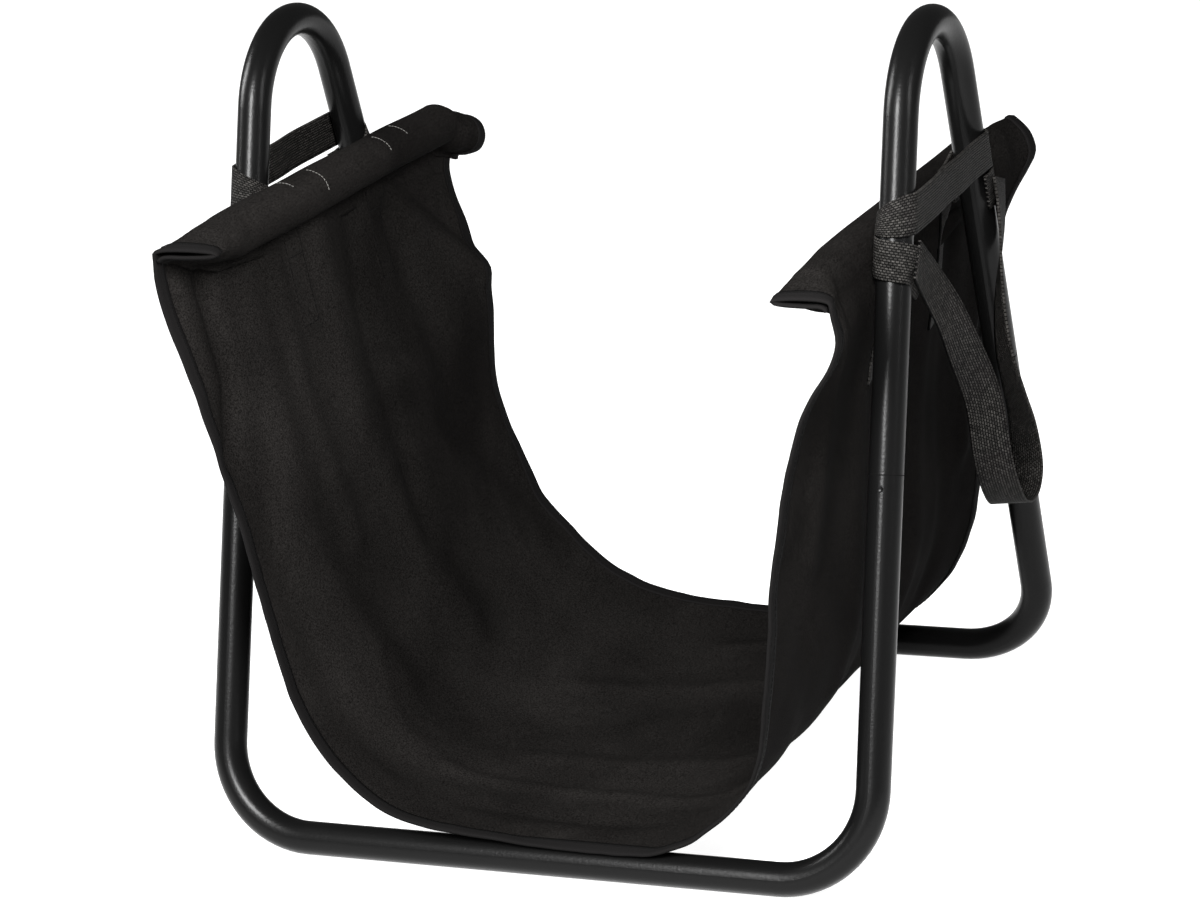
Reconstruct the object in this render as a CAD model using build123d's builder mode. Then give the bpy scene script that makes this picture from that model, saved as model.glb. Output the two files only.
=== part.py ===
"""Firewood log rack: two tubular U-frames, two plug-in arches and a lift-out fabric log carrier.

Frame of the model: millimetres, +Z up, X across the width, -Y the front.
The origin is on the floor, under the middle of the rack.
"""
import math
import os

from build123d import *

os.makedirs("parts", exist_ok=True)

# ---- driving dimensions ------------------------------------------------------------
overall_height = 520.0        # floor to the top of the arches
leg_plane_spacing = 444.0     # left arch plane to right arch plane
rail_spacing = 416.0          # front rail axis to back rail axis
tube_diameter = 22.0
tube_wall = 1.2
arch_radius = 65.0            # centreline of the arch
rail_bend_radius = 60.0       # centreline of the lower corners
seam_height = 254.0           # where an arch plugs into the lower frames
spigot_length = 45.0
spigot_clearance = 0.05       # radial, spigot inside the tube
shoulder_length = 4.0         # swaged shoulder that seats on the lower tube
dimple_drop = 9.0             # retaining dimple below the seam
dimple_radius = 4.0
dimple_depth = 0.6

cloth_thickness = 1.6
cloth_width = 430.0           # sling, front edge to back edge
cloth_floor_gap = 0.3         # binding above the rails
cradle_bottom_width = 300.0   # between the lower corners of the sling profile
cradle_bend_radius = 110.0
rod_diameter = 22.0
rod_length = 320.0
rod_drop = {-1: 2.5, 1: 15.5}  # rod axis below its strap's lower edge, left and right
rod_clearance = 0.05          # rod in its pocket
binding_width = 9.0
binding_thickness = 0.7

webbing_width = 25.0
webbing_thickness = 1.6
strap_leg_clearance = 0.5     # strap loop round a leg
strap_bottom = {-1: 404.5, 1: 396.5}   # lower edge of each hanging strap, left and right
strap_end_inset = 52.0        # half the open stretch on the rod side
tail_length = 70.0            # sewn end of a strap, down the cloth
root_gap = 1.0                # strap above, handle root below
root_open_outer = 58.0        # half the opening of a handle root, hand side
handle_gap = 0.3              # handle outside its root
handle_top_half = 72.0        # centre of one handle end from the middle
handle_bottom_half = 46.0
handle_drop = 200.0
handle_bend_radius = 44.0
handle_splay = 4.0            # degrees, handle stands off the leg as it hangs
handle_lean = 35.0            # bottom of the loop lies this far behind its roots

# ---- values worked out from them ---------------------------------------------------
tube_radius = tube_diameter / 2
bore_radius = tube_radius - tube_wall
leg_x = leg_plane_spacing / 2
rail_y = rail_spacing / 2
rail_z = tube_radius
arch_z = overall_height - tube_radius - arch_radius
arch_rise = arch_z - rail_z
lean = math.acos(arch_radius / math.hypot(rail_y, arch_rise)) - math.atan2(arch_rise, rail_y)
tangent_y = arch_radius * math.cos(lean)
tangent_z = arch_z + arch_radius * math.sin(lean)
spigot_radius = bore_radius - spigot_clearance


def leg_y(height):
    """Distance of a leg's axis from the middle plane at a height."""
    return rail_y - (height - rail_z) * math.tan(lean)


strap_loop_radius = tube_radius / math.cos(lean) + strap_leg_clearance + webbing_thickness / 2
pocket_radius = rod_diameter / 2 + rod_clearance + cloth_thickness
rod_x = leg_x - strap_loop_radius - webbing_thickness / 2 - pocket_radius
rod_z = {side: strap_bottom[side] - rod_drop[side] for side in (-1, 1)}
cloth_top_x = rod_x + pocket_radius - cloth_thickness / 2
cloth_bottom_z = tube_diameter + cloth_floor_gap + binding_thickness + cloth_thickness / 2
cloth_corner_x = cradle_bottom_width / 2
root_open_inner = strap_end_inset + webbing_width + root_gap
cloth_side_run = cloth_top_x - cloth_corner_x


def knee_z(side):
    """Height where the cloth leaves its pocket, going down."""
    tilt = math.atan2(cloth_side_run, rod_z[side] - cloth_bottom_z)
    return rod_z[side] - pocket_radius * math.tan(tilt / 2)


def side_tilt(side):
    """Angle of a side of the cloth from upright."""
    return math.atan2(cloth_side_run, knee_z(side) - cloth_bottom_z)


# ---- tube frame --------------------------------------------------------------------
def lower_frame(side):
    """A leg, a rail and a leg in one bent tube; side is -1 for the front, +1 for the back."""
    seam = Vector(leg_x, side * leg_y(seam_height), seam_height)
    corner = Vector(leg_x, side * rail_y, rail_z)
    up_leg = (seam - corner).normalized()
    with BuildPart() as frame:
        with BuildLine() as route:
            FilletPolyline(
                (-seam.X, seam.Y, seam.Z), (-corner.X, corner.Y, corner.Z),
                (corner.X, corner.Y, corner.Z), (seam.X, seam.Y, seam.Z),
                radius=rail_bend_radius,
            )
        with BuildSketch(Plane(origin=route.line @ 0, z_dir=route.line % 0)):
            Circle(tube_radius)
            Circle(bore_radius, mode=Mode.SUBTRACT)
        sweep()
        outward = Vector(0, side, 0) - up_leg * up_leg.dot(Vector(0, side, 0))
        reach = tube_radius + dimple_radius - dimple_depth
        for x in (-leg_x, leg_x):
            spot = Vector(x, seam.Y, seam.Z) - up_leg * dimple_drop + outward.normalized() * reach
            with Locations(spot):
                Sphere(dimple_radius, mode=Mode.SUBTRACT)
    return frame.part


def arch(x):
    """A hairpin arch in the plane at x, with a swaged spigot at each end."""
    foot = Vector(x, leg_y(seam_height), seam_height)
    with BuildPart() as hoop:
        with BuildLine() as route:
            left_leg = Line((x, -foot.Y, foot.Z), (x, -tangent_y, tangent_z))
            top = ThreePointArc(
                left_leg @ 1, (x, 0, arch_z + arch_radius), (x, tangent_y, tangent_z)
            )
            Line(top @ 1, foot)
        with BuildSketch(Plane(origin=route.line @ 0, z_dir=route.line % 0)):
            Circle(tube_radius)
            Circle(bore_radius, mode=Mode.SUBTRACT)
        sweep()
        for side in (-1, 1):
            end = Plane(
                origin=(x, side * foot.Y, foot.Z),
                x_dir=(1, 0, 0),
                z_dir=(0, side * math.sin(lean), -math.cos(lean)),
            )
            with BuildSketch(end):
                Circle(spigot_radius)
                Circle(spigot_radius - tube_wall, mode=Mode.SUBTRACT)
            extrude(amount=spigot_length)
            with BuildSketch(end):
                Circle(tube_radius)
                Circle(spigot_radius - tube_wall, mode=Mode.SUBTRACT)
            extrude(amount=-shoulder_length)
    return hoop.part


# ---- fabric carrier ----------------------------------------------------------------
def sling_profile():
    """Centreline of the cloth between the two rods, in the XZ plane."""
    FilletPolyline(
        (-cloth_top_x, knee_z(-1)), (-cloth_corner_x, cloth_bottom_z),
        (cloth_corner_x, cloth_bottom_z), (cloth_top_x, knee_z(1)),
        radius=cradle_bend_radius,
    )


def sling_panel():
    """The cloth: a U-shaped sheet with a pocket rolled inwards round each rod."""
    with BuildPart() as cloth:
        with BuildSketch(Plane.XZ):
            with BuildLine():
                sling_profile()
            trace(line_width=cloth_thickness)
            with Locations((-rod_x, rod_z[-1]), (rod_x, rod_z[1])):
                Circle(pocket_radius)
        extrude(amount=cloth_width / 2, both=True)
        with BuildSketch(Plane.XZ):
            with Locations((-rod_x, rod_z[-1]), (rod_x, rod_z[1])):
                Circle(rod_diameter / 2 + rod_clearance)
        extrude(amount=rod_length / 2 + rod_clearance, both=True, mode=Mode.SUBTRACT)
    return cloth.part


def edge_binding(side):
    """Tape folded over one long edge of the cloth, from pocket to pocket."""
    tape_width = cloth_thickness + 2 * binding_thickness
    edge = Plane.XZ.offset(-side * (cloth_width / 2 - binding_width))
    with BuildPart() as tape:
        with BuildSketch(edge):
            with BuildLine():
                sling_profile()
            trace(line_width=tape_width)
        extrude(amount=-side * (binding_width + binding_thickness))
        with BuildSketch(edge):
            with BuildLine():
                sling_profile()
            trace(line_width=cloth_thickness)
        extrude(amount=-side * binding_width, mode=Mode.SUBTRACT)
        with BuildSketch(edge):
            with Locations((-rod_x, rod_z[-1]), (rod_x, rod_z[1])):
                Circle(pocket_radius + 2 * binding_thickness)
        extrude(amount=-side * 2 * binding_width, mode=Mode.SUBTRACT)
    return tape.part


def rod(side):
    """Stiffening rod inside a pocket."""
    with BuildPart() as bar:
        with BuildSketch(Plane.XZ):
            with Locations((side * rod_x, rod_z[side])):
                Circle(rod_diameter / 2)
        extrude(amount=rod_length / 2, both=True)
    return bar.part


# ---- webbing -----------------------------------------------------------------------
def webbing_loop(side, bottom, inner_opening, outer_opening):
    """A band round both legs of an arch, leaning as they do, open along its straight runs."""
    with BuildPart() as band:
        for radius, mode in (
            (strap_loop_radius + webbing_thickness / 2, Mode.ADD),
            (strap_loop_radius - webbing_thickness / 2, Mode.SUBTRACT),
        ):
            for height in (bottom, bottom + webbing_width):
                with BuildSketch(Plane.XY.offset(height)):
                    with Locations((side * leg_x, 0)):
                        SlotCenterToCenter(2 * leg_y(height), 2 * radius, rotation=90)
            loft(ruled=True, mode=mode)
        for run, opening in ((-1, inner_opening), (1, outer_opening)):
            if opening:
                with Locations((side * (leg_x + run * strap_loop_radius), 0, bottom)):
                    Box(strap_loop_radius, 2 * opening, 3 * webbing_width, mode=Mode.SUBTRACT)
    return band.part


def hanging_strap(side):
    """Strap that hangs one rod from an arch, with both ends sewn down the cloth."""
    band = webbing_loop(side, strap_bottom[side], strap_end_inset, 0)
    layers = (cloth_thickness + webbing_thickness) / 2
    tail_x = cloth_top_x + layers
    tail_z = knee_z(side) - layers * math.tan(side_tilt(side) / 2)
    with BuildPart() as strap:
        add(band)
        with BuildSketch(Plane.XZ.offset(-strap_end_inset)):
            with BuildLine():
                Polyline(
                    (side * tail_x, strap_bottom[side] + webbing_thickness),
                    (side * tail_x, tail_z),
                    (
                        side * (tail_x - tail_length * math.sin(side_tilt(side))),
                        tail_z - tail_length * math.cos(side_tilt(side)),
                    ),
                )
            trace(line_width=webbing_thickness)
        extrude(amount=-webbing_width)
        mirror(about=Plane.XZ)
    return strap.part


def handle_root(side):
    """The stretch of handle webbing that wraps each leg, under the hanging strap."""
    bottom = strap_bottom[side] - root_gap - webbing_width
    return webbing_loop(side, bottom, root_open_inner, root_open_outer)


def carry_handle(side):
    """Grip loop of webbing, hanging from its two roots outside an arch."""
    axis_x = leg_x + strap_loop_radius + webbing_thickness + handle_gap
    axis_z = strap_bottom[side] - root_gap
    tilt = math.radians(handle_splay)
    back = side * handle_lean
    hang = Plane(
        origin=(side * axis_x, 0, axis_z),
        x_dir=(0, side, 0),
        z_dir=(side * math.cos(tilt), 0, math.sin(tilt)),
    )
    with BuildPart() as grip:
        with BuildSketch(hang):
            with BuildLine():
                FilletPolyline(
                    (-handle_top_half, 0), (back - handle_bottom_half, -handle_drop),
                    (back + handle_bottom_half, -handle_drop), (handle_top_half, 0),
                    radius=handle_bend_radius,
                )
            trace(line_width=webbing_width)
            with Locations((0, webbing_width)):
                Rectangle(4 * handle_top_half, 2 * webbing_width, mode=Mode.SUBTRACT)
        extrude(amount=webbing_thickness / 2, both=True)
    return grip.part


# ---- write the pieces --------------------------------------------------------------
pieces = {
    "front_lower_frame": lower_frame(-1),
    "back_lower_frame": lower_frame(1),
    "left_arch": arch(-leg_x),
    "right_arch": arch(leg_x),
    "sling_panel": sling_panel(),
    "front_edge_binding": edge_binding(-1),
    "back_edge_binding": edge_binding(1),
    "left_rod": rod(-1),
    "right_rod": rod(1),
    "left_hanging_strap": hanging_strap(-1),
    "right_hanging_strap": hanging_strap(1),
    "left_handle_root": handle_root(-1),
    "right_handle_root": handle_root(1),
    "left_carry_handle": carry_handle(-1),
    "right_carry_handle": carry_handle(1),
}
for name, piece in pieces.items():
    piece.label = name
    export_step(piece, f"parts/{name}.step")
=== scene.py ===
import math

import bmesh
import bpy
from mathutils import Matrix, Vector, noise
from mathutils.geometry import intersect_point_line


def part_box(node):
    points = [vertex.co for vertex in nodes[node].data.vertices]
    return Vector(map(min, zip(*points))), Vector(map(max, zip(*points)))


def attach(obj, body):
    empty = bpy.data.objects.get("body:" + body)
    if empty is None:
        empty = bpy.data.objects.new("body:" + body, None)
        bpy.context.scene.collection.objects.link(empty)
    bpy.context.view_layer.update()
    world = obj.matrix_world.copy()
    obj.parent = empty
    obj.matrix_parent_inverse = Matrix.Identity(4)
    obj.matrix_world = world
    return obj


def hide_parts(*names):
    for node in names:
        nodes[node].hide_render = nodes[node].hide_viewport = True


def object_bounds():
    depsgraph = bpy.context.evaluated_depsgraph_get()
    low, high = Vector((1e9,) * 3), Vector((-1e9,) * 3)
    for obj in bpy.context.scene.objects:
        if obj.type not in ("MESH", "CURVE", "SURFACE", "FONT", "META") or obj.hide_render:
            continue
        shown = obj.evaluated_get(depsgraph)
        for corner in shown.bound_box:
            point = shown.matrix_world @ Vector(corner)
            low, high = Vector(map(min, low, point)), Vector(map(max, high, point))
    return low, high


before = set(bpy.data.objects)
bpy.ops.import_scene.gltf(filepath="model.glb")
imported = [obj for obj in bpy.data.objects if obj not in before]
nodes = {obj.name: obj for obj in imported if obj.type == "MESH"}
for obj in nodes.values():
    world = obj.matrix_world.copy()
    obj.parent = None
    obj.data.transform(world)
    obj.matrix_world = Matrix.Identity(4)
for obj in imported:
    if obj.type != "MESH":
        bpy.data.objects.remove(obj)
cad_low, cad_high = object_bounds()
scene = bpy.context.scene

# ---- camera ------------------------------------------------------------------------
# A long lens a little above the rack and to the right of its front, turned slightly
# about its own axis, as a catalogue shot is taken.
turn_right = math.radians(22.73)
look_down = math.radians(17.68)
lens_roll = math.radians(-4.56)
camera_distance = 2.619
away = Vector((
    math.sin(turn_right) * math.cos(look_down),
    -math.cos(turn_right) * math.cos(look_down),
    math.sin(look_down),
))
aside = Vector((math.cos(turn_right), math.sin(turn_right), 0))
middle_height = (cad_low.z + cad_high.z) / 2
target = Vector((0, 0, middle_height - 0.0408)) - aside * 0.0201
lens = bpy.data.cameras.new("catalogue_camera")
lens.lens = 117.35
lens.sensor_width = 36
camera = bpy.data.objects.new("catalogue_camera", lens)
scene.collection.objects.link(camera)
tilt = Matrix.Rotation(lens_roll, 4, away)
camera_up = tilt @ away.cross(aside)
camera_right = tilt @ aside
camera.matrix_world = Matrix((
    (camera_right.x, camera_up.x, away.x, 0),
    (camera_right.y, camera_up.y, away.y, 0),
    (camera_right.z, camera_up.z, away.z, 0),
    (0, 0, 0, 1),
))
camera.location = target + away * camera_distance
scene.camera = camera


# ---- floor and light ---------------------------------------------------------------
# A white floor that glows a little, so that no shadow shows on it. Three tall lamps, in
# front and at each side, draw the long highlights on the tubes; a small one near the
# mouth of the sling lights the cloth, and is kept out of reflections.
def plain_material(name, color, roughness):
    """A new node material; returns it with its nodes, links and Principled shader."""
    material = bpy.data.materials.new(name)
    material.use_nodes = True
    tree = material.node_tree
    shader = tree.nodes["Principled BSDF"]
    shader.inputs["Base Color"].default_value = (*color, 1)
    shader.inputs["Roughness"].default_value = roughness
    return material, tree.nodes, tree.links, shader


def finished(name, mesh_bmesh, material, smooth=True):
    """Turn a bmesh into an object with its material, and link it."""
    mesh = bpy.data.meshes.new(name)
    mesh_bmesh.to_mesh(mesh)
    mesh_bmesh.free()
    mesh.materials.append(material)
    if smooth:
        mesh.shade_smooth()
    piece = bpy.data.objects.new(name, mesh)
    scene.collection.objects.link(piece)
    return piece


paper, _, _, paper_shader = plain_material("pale_paper", (0.25, 0.25, 0.25), 0.9)
paper_shader.inputs["Specular IOR Level"].default_value = 0.1
paper_shader.inputs["Emission Color"].default_value = (1, 1, 1, 1)
paper_shader.inputs["Emission Strength"].default_value = 0.96
floor_bmesh = bmesh.new()
bmesh.ops.create_grid(floor_bmesh, x_segments=1, y_segments=1, size=6)
floor = finished("floor", floor_bmesh, paper, smooth=False)

world = bpy.data.worlds.new("studio")
world.use_nodes = True
world.node_tree.nodes["Background"].inputs["Color"].default_value = (1, 1, 1, 1)
world.node_tree.nodes["Background"].inputs["Strength"].default_value = 0.12
scene.world = world
scene.view_settings.view_transform = "Standard"


def soft_lamp(name, place, aim, size, power):
    """A rectangular area lamp at place, facing aim."""
    lamp = bpy.data.lights.new(name, "AREA")
    lamp.shape = "RECTANGLE"
    lamp.size, lamp.size_y = size
    lamp.energy = power
    body = bpy.data.objects.new(name, lamp)
    body.location = place
    body.rotation_euler = (Vector(aim) - Vector(place)).to_track_quat("-Z", "Y").to_euler()
    scene.collection.objects.link(body)
    return body


soft_lamp("front_lamp", (-0.15, -2.4, 1.65), (0, 0, 0.30), (0.5, 1.2), 310)
soft_lamp("right_lamp", (2.4, -0.7, 1.5), (0, 0, 0.35), (0.30, 1.2), 34)
soft_lamp("left_lamp", (-2.4, -0.4, 1.5), (0, 0, 0.30), (0.8, 1.2), 125)
near_lamp = soft_lamp("near_lamp", (0.42, -0.8, 0.85), (-0.15, -0.10, 0.10), (0.3, 0.3), 88)
near_lamp.visible_glossy = False


# ---- tube frame --------------------------------------------------------------------
# Four bent steel tubes: two lower frames and two arches that plug into them. Black
# powder coat, satin, with the fine orange peel that baked powder has.

# Fine grain in Object coordinates, as a level and as relief, shared by several finishes here.
fine_grain = bpy.data.node_groups.new("fine_grain", "ShaderNodeTree")
fine_grain.interface.new_socket("Scale", in_out="INPUT", socket_type="NodeSocketFloat")
fine_grain.interface.new_socket("Depth", in_out="INPUT", socket_type="NodeSocketFloat")
fine_grain.interface.new_socket("Level", in_out="OUTPUT", socket_type="NodeSocketFloat")
fine_grain.interface.new_socket("Normal", in_out="OUTPUT", socket_type="NodeSocketVector")
grain_in = fine_grain.nodes.new("NodeGroupInput")
grain_out = fine_grain.nodes.new("NodeGroupOutput")
grain_place = fine_grain.nodes.new("ShaderNodeTexCoord")
grain_noise = fine_grain.nodes.new("ShaderNodeTexNoise")
grain_noise.inputs["Detail"].default_value = 4
grain_bump = fine_grain.nodes.new("ShaderNodeBump")
grain_bump.inputs["Strength"].default_value = 0.6
fine_grain.links.new(grain_place.outputs["Object"], grain_noise.inputs["Vector"])
fine_grain.links.new(grain_in.outputs["Scale"], grain_noise.inputs["Scale"])
fine_grain.links.new(grain_in.outputs["Depth"], grain_bump.inputs["Distance"])
fine_grain.links.new(grain_noise.outputs["Fac"], grain_bump.inputs["Height"])
fine_grain.links.new(grain_noise.outputs["Fac"], grain_out.inputs["Level"])
fine_grain.links.new(grain_bump.outputs["Normal"], grain_out.inputs["Normal"])


def add_grain(tree_nodes, tree_links, shader, scale, depth):
    """Place the fine grain in a material, as relief; returns its node."""
    grain = tree_nodes.new("ShaderNodeGroup")
    grain.node_tree = fine_grain
    grain.inputs["Scale"].default_value = scale
    grain.inputs["Depth"].default_value = depth
    tree_links.new(grain.outputs["Normal"], shader.inputs["Normal"])
    return grain


powder, powder_nodes, powder_links, powder_shader = plain_material(
    "black_powder_coat", (0.0009, 0.0009, 0.0009), 0.29
)
powder_shader.inputs["Specular IOR Level"].default_value = 0.08
add_grain(powder_nodes, powder_links, powder_shader, 600, 0.00016)
for name in ("front_lower_frame", "back_lower_frame", "left_arch", "right_arch"):
    tube = nodes[name]
    tube.data.materials.clear()
    tube.data.materials.append(powder)

# A leg leans in from its foot, where it leaves the floor rail, to the arch.
tube_radius = 0.011
leg_x, leg_foot_y = 0.222, 0.208
leg_lean = math.radians(17.88)
leg_slope = math.tan(leg_lean)

# The dark line where an arch seats on the lower frame, one on each leg.
seam_height = 0.254
seam_line_height = 0.0007
seam_line_proud = 0.00006
seam_material, _, _, seam_shader = plain_material("seam_shadow", (0.001, 0.001, 0.001), 0.9)
seam_shader.inputs["Specular IOR Level"].default_value = 0.02


def leg_y(height):
    """How far each leg of an arch stands from the middle, at a height."""
    return leg_foot_y - (height - tube_radius) * leg_slope


for side, label in ((-1, "left"), (1, "right")):
    rings = bmesh.new()
    for end in (-1, 1):
        turn = Matrix.Rotation(end * leg_lean, 4, "X")
        spot = Matrix.Translation((side * leg_x, end * leg_y(seam_height), seam_height))
        ring_radius = tube_radius + seam_line_proud
        bmesh.ops.create_cone(
            rings, segments=64, radius1=ring_radius, radius2=ring_radius,
            depth=seam_line_height, matrix=spot @ turn,
        )
    ring = finished(f"{label}_seam_rings", rings, seam_material)
    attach(ring, "frame")


# ---- rods --------------------------------------------------------------------------
# A turned wooden rod in each pocket, held there by the sewn cloth. Stained brown.
wood, wood_nodes, wood_links, wood_shader = plain_material("stained_wood", (0.13, 0.075, 0.04), 0.6)
add_grain(wood_nodes, wood_links, wood_shader, 240, 0.00015)
for name in ("left_rod", "right_rod"):
    nodes[name].data.materials.clear()
    nodes[name].data.materials.append(wood)


# ---- sling -------------------------------------------------------------------------
# One length of black woven cloth, slung between two rods. Each end is turned inward
# round its rod and sewn down, which makes a pocket; the pockets run on past the rods,
# so their ends hang empty and go flat.
def smooth_line(points, count):
    """count points, evenly spaced, along a smooth curve through given points."""
    ends = [points[0] * 2 - points[1], *points, points[-1] * 2 - points[-2]]
    fine = []
    for before, here, there, after in zip(ends, ends[1:], ends[2:], ends[3:]):
        for step in range(20):
            t = step / 20
            fine.append(
                here
                + (there - before) * (0.5 * t)
                + (before * 2 - here * 5 + there * 4 - after) * (0.5 * t * t)
                + (here * 3 - before - there * 3 + after) * (0.5 * t ** 3)
            )
    fine.append(points[-1].copy())
    reached = [0.0]
    for here, there in zip(fine, fine[1:]):
        reached.append(reached[-1] + (there - here).length)
    line = []
    spot = 0
    for step in range(count):
        wanted = reached[-1] * step / (count - 1)
        while spot < len(fine) - 2 and reached[spot + 1] < wanted:
            spot += 1
        part = (wanted - reached[spot]) / max(reached[spot + 1] - reached[spot], 1e-9)
        line.append(fine[spot].lerp(fine[spot + 1], min(part, 1)))
    return line


def between(stations, place):
    """Values at a place, eased between stations of (place, value, value, ...)."""
    for (here, *low), (there, *high) in zip(stations, stations[1:]):
        if place <= there:
            part = min(max((place - here) / (there - here), 0), 1)
            part = part * part * (3 - 2 * part)
            return [a + (b - a) * part for a, b in zip(low, high)]
    return stations[-1][1:]


cloth_thickness = 0.0012
# Points along the hanging cloth and round each pocket, and rows from front to back.
panel_count, pocket_count, row_count = 216, 34, 132

# The hanging cloth, from the left pocket to the right, at its front edge, its middle
# and its back edge.
front_edge = [Vector(point) for point in (
    (-0.219, -0.226, 0.404), (-0.217, -0.225, 0.376), (-0.197, -0.223, 0.304),
    (-0.183, -0.221, 0.238), (-0.169, -0.218, 0.163), (-0.154, -0.217, 0.098),
    (-0.121, -0.217, 0.053), (-0.070, -0.216, 0.029), (0.045, -0.216, 0.0225),
    (0.102, -0.216, 0.031), (0.150, -0.216, 0.074), (0.165, -0.216, 0.134),
    (0.171, -0.214, 0.195), (0.1775, -0.210, 0.238), (0.193, -0.202, 0.305),
    (0.216, -0.195, 0.350), (0.218, -0.192, 0.380),
)]
half_profile = [
    (0.030, 0.013), (0.088, 0.020), (0.131, 0.049), (0.156, 0.093), (0.171, 0.143), (0.187, 0.260),
]
middle_line = [
    Vector((-0.2075, 0, 0.398)),
    Vector((-0.203, 0, 0.360)),
    *(Vector((-x, 0, z)) for x, z in reversed(half_profile)),
    *(Vector((x, 0, z)) for x, z in half_profile),
    Vector((0.202, 0, 0.344)),
    Vector((0.2075, 0, 0.376)),
]
back_edge = [Vector(point) for point in (
    (-0.203, 0.188, 0.388), (-0.2005, 0.188, 0.350), (-0.185, 0.196, 0.292),
    (-0.181, 0.201, 0.256), (-0.1875, 0.208, 0.198), (-0.180, 0.213, 0.153),
    (-0.1525, 0.218, 0.0925), (-0.1075, 0.221, 0.0475), (-0.045, 0.222, 0.0285),
    (0.045, 0.221, 0.0245), (0.110, 0.218, 0.028), (0.149, 0.216, 0.060),
    (0.170, 0.216, 0.108), (0.178, 0.214, 0.165), (0.187, 0.211, 0.250),
    (0.202, 0.213, 0.322), (0.216, 0.221, 0.366),
)]
profiles = [smooth_line(line, panel_count) for line in (front_edge, middle_line, back_edge)]
panel_length = sum((b - a).length for a, b in zip(profiles[1], profiles[1][1:]))
panel_step = panel_length / (panel_count - 1)

# Pocket sections, front to back: place along Y, centre X and Z, half width, half height,
# and how far the middle of an end that has gone flat bows outward.
left_pocket = [
    (-0.233, -0.1920, 0.4125, 0.0220, 0.0022, 0), (-0.222, -0.1925, 0.4115, 0.0210, 0.0048, 0),
    (-0.196, -0.1930, 0.4090, 0.0170, 0.0110, 0), (-0.165, -0.1935, 0.4070, 0.0145, 0.0148, 0),
    (-0.060, -0.1935, 0.4045, 0.0143, 0.0148, 0), (0.060, -0.1935, 0.4025, 0.0143, 0.0140, 0),
    (0.158, -0.1930, 0.4000, 0.0143, 0.0138, 0), (0.178, -0.1910, 0.3905, 0.0138, 0.0138, 0),
    (0.200, -0.1890, 0.3830, 0.0130, 0.0132, 0),
]
right_pocket = [
    (-0.203, 0.1990, 0.3845, 0.0185, 0.0022, 0), (-0.190, 0.1975, 0.3848, 0.0180, 0.0040, 0),
    (-0.177, 0.1955, 0.3832, 0.0165, 0.0080, 0), (-0.160, 0.1935, 0.3812, 0.0146, 0.0134, 0),
    (-0.110, 0.1935, 0.3828, 0.0143, 0.0150, 0), (0.060, 0.1935, 0.3810, 0.0143, 0.0138, 0),
    (0.162, 0.1935, 0.3800, 0.0142, 0.0134, 0), (0.195, 0.2035, 0.3758, 0.0085, 0.0195, 0.004),
    (0.225, 0.2085, 0.3738, 0.0030, 0.0215, 0.013),
]
# Round a pocket from its sewn hem to where the cloth hangs down, in half widths and
# half heights; minus one is the outer side, against the leg.
pocket_round = [
    (-0.66, -1.10), (-0.05, -1.04), (0.60, -0.80), (0.94, -0.28), (0.97, 0.25),
    (0.72, 0.72), (0.12, 1.0), (-0.52, 0.95), (-0.86, 0.52), (-1.0, 0.0), (-1.0, -0.35),
]
hem_depth = 0.014
pocket_pull = 0.055     # how far down the cloth a pocket's own shape reaches


def pocket_section(side, stations, share):
    """Points round one pocket, share of the way from its front end to its back end."""
    place = stations[0][0] + (stations[-1][0] - stations[0][0]) * share
    x, z, half_width, half_height, bow = between(stations, place)
    outline = [
        Vector((x + side * (bow * (1 - w * w) - u * half_width), place, z + w * half_height))
        for u, w in pocket_round
    ]
    hem_x = x + side * (half_width - 2.2 * cloth_thickness)
    hem_top = z - 1.2 * half_height - 0.002
    depth = hem_depth * min(1, 0.04 + 3 * max(min(share, 1 - share) - 0.06, 0))
    hem = [Vector((hem_x, place, hem_top - depth)), Vector((hem_x, place, hem_top))]
    return smooth_line(hem + outline, pocket_count)


def panel_row(share, left_top, right_top):
    """The hanging cloth at a share of its width, hung from the tops of both pockets."""
    across = share * 2 - 1
    near, far = max(-across, 0) ** 2, max(across, 0) ** 2
    row = []
    for front, middle, back in zip(*profiles):
        shape = middle + near * (front - middle) + far * (back - middle)
        row.append(Vector((shape.x, front.y + (back.y - front.y) * share, shape.z)))
    left_pull, right_pull = left_top - row[0], right_top - row[-1]
    for step, point in enumerate(row):
        left_down = step * panel_step
        right_down = (panel_count - 1 - step) * panel_step
        point += left_pull * max(1 - left_down / pocket_pull, 0) ** 2
        point += right_pull * max(1 - right_down / pocket_pull, 0) ** 2
    return row


# Folds: a route of (down the cloth, Y), its half width, and how far it lifts the cloth
# inward; a negative lift is a valley. Each side is measured down from its own pocket.
left_folds = [
    ([(0.000, -0.182), (0.050, -0.176), (0.092, -0.180), (0.135, -0.205)], 0.010, -0.0062),
    ([(0.020, -0.205), (0.080, -0.204)], 0.014, 0.0030),
    ([(0.000, 0.050), (0.055, 0.118), (0.110, 0.192)], 0.011, 0.0052),
    ([(0.000, 0.086), (0.050, 0.150), (0.090, 0.190)], 0.009, -0.0040),
    ([(0.000, -0.088), (0.120, -0.096), (0.230, -0.070)], 0.013, 0.0026),
    ([(0.000, 0.030), (0.120, 0.010), (0.260, 0.030)], 0.014, -0.0034),
    ([(0.010, -0.025), (0.160, -0.030), (0.330, 0.040)], 0.020, 0.0040),
    ([(0.060, -0.130), (0.200, -0.140), (0.330, -0.080)], 0.020, 0.0036),
    ([(0.040, 0.080), (0.190, 0.120), (0.300, 0.205)], 0.018, -0.0044),
    ([(0.150, -0.200), (0.260, -0.170), (0.370, -0.150)], 0.020, -0.0030),
]
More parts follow.
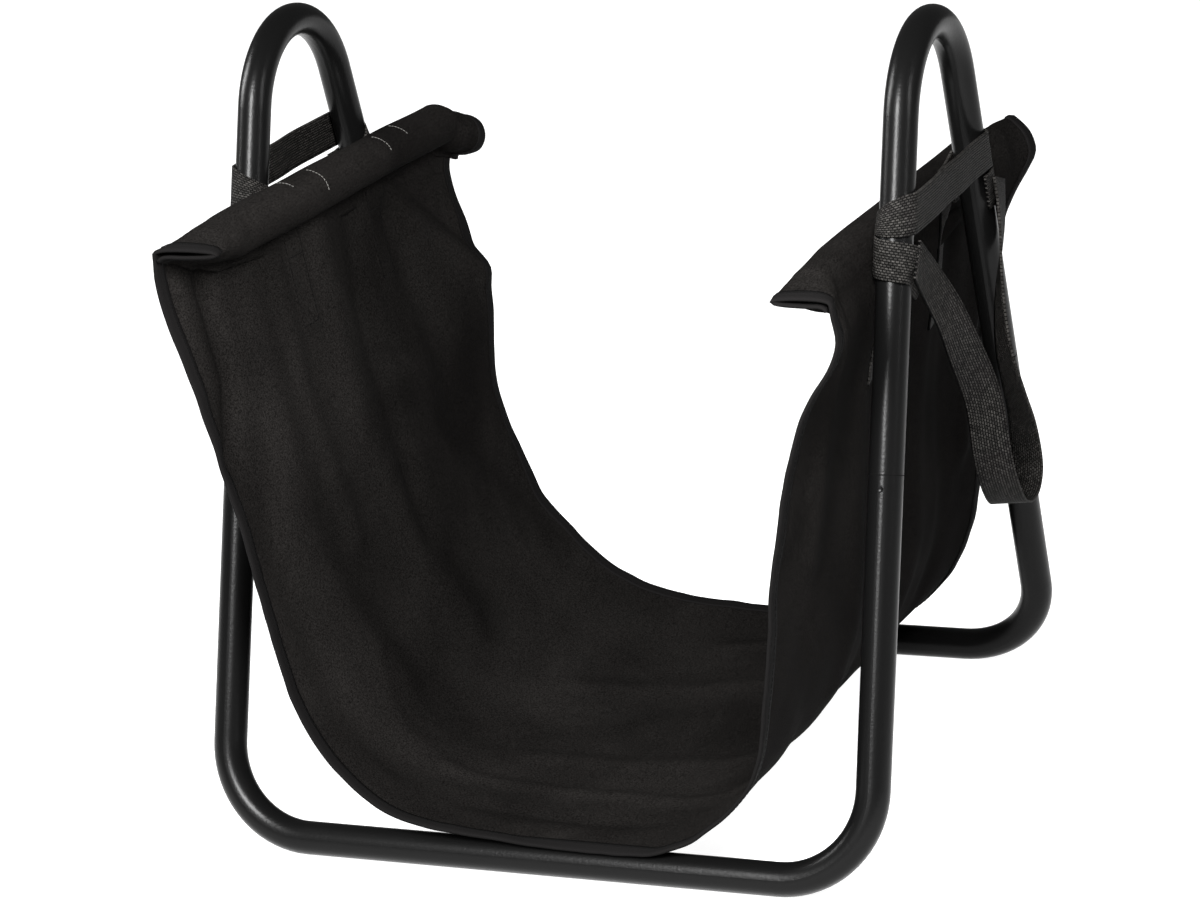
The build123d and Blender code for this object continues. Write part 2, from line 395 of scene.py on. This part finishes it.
right_folds = [
    ([(0.000, -0.090), (0.110, -0.080), (0.300, -0.050)], 0.015, -0.0034),
    ([(0.000, 0.000), (0.140, 0.010), (0.330, 0.020)], 0.019, 0.0034),
    ([(0.000, 0.040), (0.140, 0.060), (0.330, 0.080)], 0.017, -0.0032),
    ([(0.000, 0.082), (0.120, 0.110), (0.300, 0.150)], 0.016, 0.0030),
    ([(0.020, -0.180), (0.080, -0.150), (0.180, -0.150)], 0.013, -0.0034),
    ([(0.000, 0.150), (0.090, 0.175), (0.200, 0.170)], 0.014, -0.0040),
    ([(0.180, -0.190), (0.290, -0.120), (0.380, -0.060)], 0.018, 0.0024),
]
floor_folds = [
    ([(0.400, -0.120), (0.520, -0.112), (0.620, -0.130)], 0.008, 0.0020),
    ([(0.430, -0.165), (0.560, -0.160)], 0.008, -0.0018),
    ([(0.440, -0.060), (0.600, -0.045)], 0.010, 0.0018),
    ([(0.420, 0.060), (0.580, 0.100)], 0.011, 0.0020),
    ([(0.500, 0.150), (0.620, 0.185)], 0.008, 0.0022),
]


def fold_lift(folds, place):
    """How far a set of folds lifts the cloth at a place."""
    lift = 0
    for route, width, height in folds:
        nearest = 3 * width
        for here, there in zip(route, route[1:]):
            on_line, _ = intersect_point_line(place, Vector(here), Vector(there))
            run = Vector(there) - Vector(here)
            part = min(max((on_line.xy - Vector(here)).dot(run) / run.length_squared, 0), 1)
            nearest = min(nearest, (place - Vector(here) - run * part).length)
        lift += height * math.exp(-(nearest / width) ** 2)
    return lift


# A strap's sewn end, its tail, lies down the outside of the cloth at this Y.
webbing_width, tail_length, tail_place = 0.025, 0.084, 0.0645
tail_swell = 0.0009

# Loose cloth also waves, creases, and puckers near its edges: lift, and how fine it is.
wave_lift, wave_scale = 0.0022, 11
crease_lift, crease_scale = 0.0004, 42
pucker_lift, pucker_rows, pucker_down, pucker_across = 0.0008, 7, 60, 9
top_fade = 0.02         # folds start this far below a pocket
rail_clearance = 0.0009
rail_half_length = 0.19


def add_folds(rows):
    """Fold the hanging cloth, pucker its edges, and rest it on the rails."""
    low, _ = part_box("front_lower_frame")
    rail_reach = tube_radius + rail_clearance + cloth_thickness / 2
    folded = [[point.copy() for point in row] for row in rows]
    for j, row in enumerate(rows):
        above, below = rows[max(j - 1, 0)], rows[min(j + 1, row_count - 1)]
        for i in range(pocket_count, pocket_count + panel_count - 2):
            point = row[i]
            inward = (row[i + 1] - row[i - 1]).cross(below[i] - above[i]).normalized()
            down = (i - pocket_count + 1) * panel_step
            up = panel_length - down
            lift = fold_lift(floor_folds, Vector((down, point.y)))
            if down < up:
                lift += fold_lift(left_folds, Vector((down, point.y)))
            else:
                lift += fold_lift(right_folds, Vector((up, point.y)))
            waves = wave_lift * noise.noise(point * wave_scale)
            creases = crease_lift * noise.noise(point * crease_scale)
            from_edge = min(j, row_count - 1 - j) / pucker_rows
            pucker = noise.noise(Vector((down * pucker_down, point.y * pucker_across, 3.1)))
            lift += waves + creases
            lift += pucker_lift * pucker * math.exp(-from_edge * from_edge)
            if abs(abs(point.y) - tail_place) < webbing_width / 2 and min(down, up) < tail_length:
                lift += tail_swell
            folded[j][i] = point + inward * lift * min(min(down, up) / top_fade, 1)
    for row in folded:
        for point in row:
            for rail_y in (low.y + tube_radius, -low.y - tube_radius):
                arm = Vector((0, point.y - rail_y, point.z - tube_radius))
                if abs(point.x) < rail_half_length and 0 < arm.length < rail_reach:
                    point += arm.normalized() * (rail_reach - arm.length)
    return folded


def sheet_from_rows(name, rows, material, thickness):
    """A sheet through rows of points, with a UV map in metres along and across it."""
    columns = len(rows[0])
    sheet = bmesh.new()
    grid = bmesh.ops.create_grid(
        sheet, x_segments=columns - 1, y_segments=len(rows) - 1, size=0.5
    )
    middle = rows[len(rows) // 2]
    along, across = [0.0], [0.0]
    for here, there in zip(middle, middle[1:]):
        along.append(along[-1] + (there - here).length)
    for here, there in zip(rows, rows[1:]):
        across.append(across[-1] + (there[columns // 2] - here[columns // 2]).length)
    for index, vertex in enumerate(grid["verts"]):
        vertex.co = rows[index // columns][index % columns]
    sheet.verts.index_update()
    uv = sheet.loops.layers.uv.new("weave")
    for face in sheet.faces:
        for corner in face.loops:
            index = corner.vert.index
            corner[uv].uv = (along[index % columns], across[index // columns])
    piece = finished(name, sheet, material)
    wall = piece.modifiers.new("thickness", "SOLIDIFY")
    wall.thickness = thickness
    wall.offset = 0
    return piece


cloth_rows = []
for j in range(row_count):
    share = j / (row_count - 1)
    left_round = pocket_section(-1, left_pocket, share)
    right_round = pocket_section(1, right_pocket, share)
    panel = panel_row(share, left_round[-1], right_round[-1])
    cloth_rows.append(left_round + panel[1:-1] + right_round[::-1])
cloth_rows = add_folds(cloth_rows)

cloth, cloth_nodes, cloth_links, cloth_shader = plain_material(
    "black_woven_cloth", (0.0030, 0.0028, 0.0026), 0.95
)
cloth_shader.inputs["Specular IOR Level"].default_value = 0.01
grain = add_grain(cloth_nodes, cloth_links, cloth_shader, 900, 0.0004)
flecks = cloth_nodes.new("ShaderNodeValToRGB")
flecks.color_ramp.elements[0].position = 0.35
flecks.color_ramp.elements[0].color = (0.0011, 0.0010, 0.00094, 1)
flecks.color_ramp.elements[1].position = 0.68
flecks.color_ramp.elements[1].color = (0.0039, 0.0036, 0.0034, 1)
cloth_links.new(grain.outputs["Level"], flecks.inputs["Fac"])
# Broad patches, paler and darker at random: painted light and shade, standing in for the uneven
# light on the cloth and the shade of its soft folds.
painted_shade_place = cloth_nodes.new("ShaderNodeTexCoord")
painted_shade_patches = cloth_nodes.new("ShaderNodeTexNoise")
painted_shade_patches.inputs["Scale"].default_value = 9
painted_shade_patches.inputs["Detail"].default_value = 5
painted_shade_patches.inputs["Distortion"].default_value = 0.6
painted_shade_range = cloth_nodes.new("ShaderNodeMapRange")
painted_shade_range.inputs["From Min"].default_value = 0.35
painted_shade_range.inputs["From Max"].default_value = 0.65
painted_shade_range.inputs["To Min"].default_value = 0.72
painted_shade_range.inputs["To Max"].default_value = 1.3
shade = cloth_nodes.new("ShaderNodeVectorMath")
shade.operation = "SCALE"
cloth_links.new(painted_shade_place.outputs["Object"], painted_shade_patches.inputs["Vector"])
cloth_links.new(painted_shade_patches.outputs["Fac"], painted_shade_range.inputs["Value"])
cloth_links.new(flecks.outputs["Color"], shade.inputs[0])
cloth_links.new(painted_shade_range.outputs["Result"], shade.inputs["Scale"])
cloth_links.new(shade.outputs["Vector"], cloth_shader.inputs["Base Color"])
sling = sheet_from_rows("woven_sling", cloth_rows, cloth, cloth_thickness)
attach(sling, "carrier")
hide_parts("sling_panel")


# ---- edge bindings -----------------------------------------------------------------
# Black tape folded over each raw edge of the sling, round the pocket ends too, and
# sewn through with one line of black thread.
def normals_of(row, next_row):
    """Unit normals, on the inner side, along one row of the cloth."""
    normals = []
    for i in range(len(row)):
        along = row[min(i + 1, len(row) - 1)] - row[max(i - 1, 0)]
        normals.append(along.cross(next_row[i] - row[i]).normalized())
    return normals


stitch_share, stitch_width, stitch_height = 0.72, 0.0005, 0.0004


def sew(thread, path, normals, lift, pitch=0.0042):
    """Add stitches to a bmesh along a path, standing a little proud of the cloth."""
    travelled, due = 0, pitch / 2
    for here, there, normal in zip(path, path[1:], normals):
        run = there - here
        while travelled + run.length > due:
            spot = here + run.normalized() * (due - travelled) + normal * lift
            side = normal.cross(run).normalized()
            turn = Matrix((run.normalized(), side, normal)).transposed().to_4x4()
            shape = Matrix.Diagonal((stitch_share * pitch, stitch_width, stitch_height, 1))
            bmesh.ops.create_cube(thread, size=1, matrix=Matrix.Translation(spot) @ turn @ shape)
            due += pitch
        travelled += run.length


binding_thickness = 0.0006
tape, tape_nodes, tape_links, tape_shader = plain_material(
    "black_binding_tape", (0.0016, 0.0015, 0.0015), 0.85
)
tape_shader.inputs["Specular IOR Level"].default_value = 0.03
add_grain(tape_nodes, tape_links, tape_shader, 1400, 0.00012)
thread_material, _, _, thread_shader = plain_material(
    "black_thread", (0.0008, 0.0008, 0.0008), 0.8
)
thread_shader.inputs["Specular IOR Level"].default_value = 0.05

on_tape = cloth_thickness / 2 + binding_thickness
edge_pieces = []
for name, rows in (
    ("front_edge_binding", cloth_rows[:4]),
    ("back_edge_binding", cloth_rows[:-5:-1]),
):
    # Counted in from the back edge the rows run the other way, which turns normals over.
    flip = 1 if name.startswith("front") else -1
    normals = [[n * flip for n in normals_of(rows[0], rows[1])]]
    for earlier, row in zip(rows, rows[1:]):
        normals.append([n * -flip for n in normals_of(row, earlier)])
    rise = (cloth_thickness + binding_thickness) / 2
    inner = [[p + n * rise for p, n in zip(row, ns)] for row, ns in zip(rows, normals)]
    outer = [[p - n * rise for p, n in zip(row, ns)] for row, ns in zip(rows, normals)]
    nose = [p - (q - p).normalized() * rise for p, q in zip(rows[0], rows[1])]
    binding = sheet_from_rows(
        f"{name}_tape", inner[::-1] + [nose] + outer, tape, binding_thickness
    )
    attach(binding, "carrier")
    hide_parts(name)

    thread = bmesh.new()
    seam = [p.lerp(q, 0.2) for p, q in zip(rows[2], rows[3])]
    for side in (1, -1):
        sew(thread, seam, [n * side for n in normals[2]], on_tape)
    stitches = finished(f"{name}_stitches", thread, thread_material, smooth=False)
    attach(stitches, "carrier")
    edge_pieces += [binding, stitches]

# Four short pale lines across the left pocket, one each side of both strap ends, partly
# thread and partly a painted highlight on the creases there: the place of each along Y,
# and the columns of cloth that it starts and ends at.
tack_places = ((-0.087, 21, 25), (-0.050, 17, 24), (0.052, 18, 24), (0.085, 19, 24))
tack_pitch = 0.0022
# Pale grey: partly the colour of thread, partly a painted highlight where the creases catch the
# light.
pale_thread_and_highlight, _, _, _ = plain_material("pale_thread_and_highlight", (0.040, 0.039, 0.036), 0.7)
tacks = bmesh.new()
front_end, back_end = cloth_rows[0][0].y, cloth_rows[-1][0].y
for y, first, last in tack_places:
    j = round((y - front_end) / (back_end - front_end) * (row_count - 1))
    arc = cloth_rows[j][first:last + 1]
    outward = [-n for n in normals_of(arc, cloth_rows[j + 1][first:last + 1])]
    sew(tacks, arc, outward, cloth_thickness / 2, tack_pitch)
tack_piece = finished("left_pocket_thread_highlights", tacks, pale_thread_and_highlight, smooth=False)
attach(tack_piece, "carrier")


# ---- hanging straps ----------------------------------------------------------------
# A black webbing strap round both legs of each arch, under the curve, with its two
# ends sewn down the outside of the sling. It holds the pocket and its rod at the arch.
def on_cloth(side, down, y):
    """A point of the cloth, at a distance down from its pocket, and its inner normal."""
    column = pocket_count - 1 + down / panel_step
    if side > 0:
        column = len(cloth_rows[0]) - 1 - column
    i = int(column)
    front, back = cloth_rows[0][i].y, cloth_rows[-1][i].y
    row = (y - front) / (back - front) * (row_count - 1)
    j = int(row)
    near = cloth_rows[j][i].lerp(cloth_rows[j][i + 1], column - i)
    far = cloth_rows[j + 1][i].lerp(cloth_rows[j + 1][i + 1], column - i)
    along = cloth_rows[j][i + 1] - cloth_rows[j][i]
    normal = along.cross(cloth_rows[j + 1][i] - cloth_rows[j][i]).normalized()
    return near.lerp(far, row - j), normal


def ribbon_rows(route, sideways, width, count=7):
    """Rows of points across a flat strap, from its route and its sideways directions."""
    steps = [(k / (count - 1) - 0.5) * width for k in range(count)]
    return [[p + s.normalized() * step for p, s in zip(route, sideways)] for step in steps]


webbing, webbing_nodes, webbing_links, webbing_shader = plain_material(
    "black_webbing", (0.004, 0.004, 0.004), 0.6
)
webbing_shader.inputs["Specular IOR Level"].default_value = 0.03
# The weave is staggered bars across the strap, each a raised bundle of yarn.
place = webbing_nodes.new("ShaderNodeUVMap")
place.uv_map = "weave"
weave = webbing_nodes.new("ShaderNodeTexBrick")
weave.inputs["Scale"].default_value = 1000
weave.inputs["Brick Width"].default_value = 2.6
weave.inputs["Row Height"].default_value = 1.7
weave.inputs["Mortar Size"].default_value = 0.58
weave.inputs["Mortar Smooth"].default_value = 1
weave.inputs["Color1"].default_value = (0.0115, 0.0109, 0.0102, 1)
weave.inputs["Color2"].default_value = (0.0035, 0.0033, 0.0031, 1)
weave.inputs["Mortar"].default_value = (0.0002, 0.0002, 0.0002, 1)
ribs = webbing_nodes.new("ShaderNodeBump")
ribs.invert = True
ribs.inputs["Strength"].default_value = 0.9
ribs.inputs["Distance"].default_value = 0.0006
webbing_links.new(place.outputs["UV"], weave.inputs["Vector"])
webbing_links.new(weave.outputs["Color"], webbing_shader.inputs["Base Color"])
webbing_links.new(weave.outputs["Fac"], ribs.inputs["Height"])
webbing_links.new(ribs.outputs["Normal"], webbing_shader.inputs["Normal"])

webbing_thickness = 0.0016
loop_radius = 0.01286                       # middle of the webbing, round a leg
strap_bottom = {-1: 0.4045, 1: 0.3965}      # lower edge, on the left and on the right
strap_end = 0.052                           # the strap turns down here, from the middle
fold_drop = 0.021                           # how far its upper edge comes down there
tail_stitch = 0.0036


def band_row(side, share):
    """A path round both legs at a share of the band's width, folded down at its ends."""
    height = strap_bottom[side] + webbing_width * share
    reach = leg_y(height)
    outer_run = [Vector((leg_x + loop_radius, reach * (1 - k / 12), height)) for k in range(25)]
    path = []
    for end in (1, -1):
        half = []
        for step in range(8):
            y = strap_end + (reach - strap_end) * step / 8
            half.append((Vector((leg_x - loop_radius, end * y, height)), 0.30 * step / 8))
        for step in range(17):
            turn = math.pi * step / 16
            x = leg_x - loop_radius * math.cos(turn)
            y = end * (reach + loop_radius * math.sin(turn))
            half.append((Vector((x, y, height)), 0.30 + 0.70 * min(step / 13, 1)))
        for point, open_share in half:
            fold = 1 - open_share * open_share * (3 - 2 * open_share)
            point.z -= fold_drop * share * fold
        points = [point for point, _ in half]
        path += points + outer_run[1:-1] if end > 0 else points[::-1]
    for point in path:
        slack = math.exp(-(point.y / 0.045) ** 2) if point.x > leg_x else 0
        point.x += 0.0006 * slack * math.sin(point.y * 90)
        point.z += 0.0007 * math.sin(point.y * 37 + 1) - 0.0008 * slack
        point.x *= side
    return path


for side, label in ((-1, "left"), (1, "right")):
    band = sheet_from_rows(
        f"{label}_strap_band", [band_row(side, k / 6) for k in range(7)], webbing, webbing_thickness
    )
    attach(band, "carrier")
    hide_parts(f"{label}_hanging_strap")

    for end in (-1, 1):
        outward = (cloth_thickness + webbing_thickness) / 2 + 0.0001
        rows = []
        for k in range(7):
            y = end * (strap_end + webbing_width * k / 6)
            top_x = side * (leg_x - loop_radius)
            row = [Vector((top_x, y, strap_bottom[side] + above)) for above in (0.002, -0.005)]
            for step in range(1, 20):
                point, normal = on_cloth(side, tail_length * step / 19, y)
                row.append(point - normal * outward)
            rows.append(row)
        place_name = "front" if end < 0 else "back"
        tail = sheet_from_rows(
            f"{label}_strap_tail_{place_name}", rows, webbing, webbing_thickness
        )
        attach(tail, "carrier")
        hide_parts(f"{label}_hanging_strap")

    # Each tail is sewn round three sides and once across, and shows on the inner face.
    thread = bmesh.new()
    inset = webbing_width / 2 - 0.002
    high_end, cross_place, low_end = 0.004, 0.034, tail_length - 0.003
    corners = [(high_end, -inset), (low_end, -inset), (low_end, inset), (high_end, inset)]
    cross_seam = [(cross_place, -inset), (cross_place, inset)]
    for middle in (-tail_place, tail_place):
        for seam in (corners, cross_seam):
            for (down, y), (next_down, next_y) in zip(seam, seam[1:]):
                spots = []
                for k in range(13):
                    part = k / 12
                    spot_down = down + (next_down - down) * part
                    spot_y = middle + y + (next_y - y) * part
                    spots.append(on_cloth(side, spot_down, spot_y))
                path = [point for point, _ in spots]
                facing = [normal for _, normal in spots]
                sew(thread, path, facing, cloth_thickness / 2, tail_stitch)
    stitches = finished(f"{label}_tail_stitches", thread, thread_material, smooth=False)
    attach(stitches, "carrier")


# ---- carry handles -----------------------------------------------------------------
# A loop of the same webbing at each arch, to carry the loaded sling by. Its ends wrap
# the legs under the hanging strap; the loop hangs outside, twisted as it was let fall.
root_drop = 0.001
for side, label in ((-1, "left"), (1, "right")):
    for end in (-1, 1):
        slip = 0.009 if end < 0 else 0.002
        tilt = Vector((0.30, 0.55, 0.76)) if end < 0 else Vector((0, -0.31, 0.95))
        route, widths = [], []
        for step in range(-4, 24):
            turn = math.pi * min(max(step / 16, 0), 1)
            settle = min(max((step - 5) / 13, 0), 1) ** 2
            height = strap_bottom[side] - root_drop - webbing_width / 2 - slip * settle
            beyond = max(step - 16, 0) * 0.0024
            reach = leg_y(height) + loop_radius * math.sin(turn) + min(step, 0) * 0.0024 - beyond
            route.append(Vector((
                side * (leg_x - loop_radius * math.cos(turn)),
                end * reach,
                height - (beyond * 0.7 if end < 0 else 0),
            )))
            lean = Vector((0, -end * leg_slope, 1)).lerp(tilt, settle)
            widths.append(Vector((side * lean.x, lean.y, lean.z)))
        root = sheet_from_rows(
            f"{label}_root_{'front' if end < 0 else 'back'}",
            ribbon_rows(route, widths, webbing_width), webbing, webbing_thickness,
        )
        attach(root, "carrier")
        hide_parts(f"{label}_handle_root")

# The hanging loop: its middle line from the front leg down and up to the back leg, and
# the direction of its width, for the right side.
handle_line = [
    ((0.2366, -0.090, 0.381), (0.01, 0.53, 0.83)), ((0.2380, -0.066, 0.358), (0.34, 0.64, 0.68)),
    ((0.2415, -0.045, 0.333), (0.68, 0.54, 0.50)), ((0.2440, -0.027, 0.306), (0.78, 0.50, 0.36)),
    ((0.2460, -0.008, 0.279), (0.84, 0.46, 0.28)), ((0.2480, 0.001, 0.257), (0.88, 0.43, 0.20)),
    ((0.2490, 0.007, 0.228), (0.93, 0.34, 0.14)), ((0.2495, 0.019, 0.201), (0.97, 0.20, 0.14)),
    ((0.2495, 0.040, 0.180), (0.99, 0.08, 0.12)), ((0.2495, 0.069, 0.177), (0.99, 0.00, 0.10)),
    ((0.2490, 0.087, 0.191), (0.99, -0.05, 0.05)), ((0.2490, 0.081, 0.222), (0.97, -0.20, 0.02)),
    ((0.2485, 0.066, 0.250), (0.92, -0.38, 0.04)), ((0.2465, 0.056, 0.276), (0.80, -0.58, 0.10)),
    ((0.2440, 0.058, 0.300), (0.60, -0.72, 0.30)), ((0.2410, 0.070, 0.322), (0.38, -0.78, 0.44)),
    ((0.2390, 0.084, 0.342), (0.18, -0.86, 0.44)), ((0.2374, 0.094, 0.362), (0.06, -0.93, 0.34)),
    ((0.2368, 0.094, 0.386), (0.00, -0.95, 0.31)),
]
for side, label in ((-1, "left"), (1, "right")):
    lift = strap_bottom[side] - strap_bottom[1]
    route = smooth_line([Vector(point) for point, _ in handle_line], 140)
    widths = smooth_line([Vector(direction) for _, direction in handle_line], 140)
    for point in route:
        point.x *= side
        point.z += lift
    for direction in widths:
        direction.x *= side
    handle = sheet_from_rows(
        f"{label}_handle_webbing", ribbon_rows(route, widths, webbing_width), webbing,
        webbing_thickness,
    )
    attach(handle, f"{label}_handle")
    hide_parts(f"{label}_carry_handle")
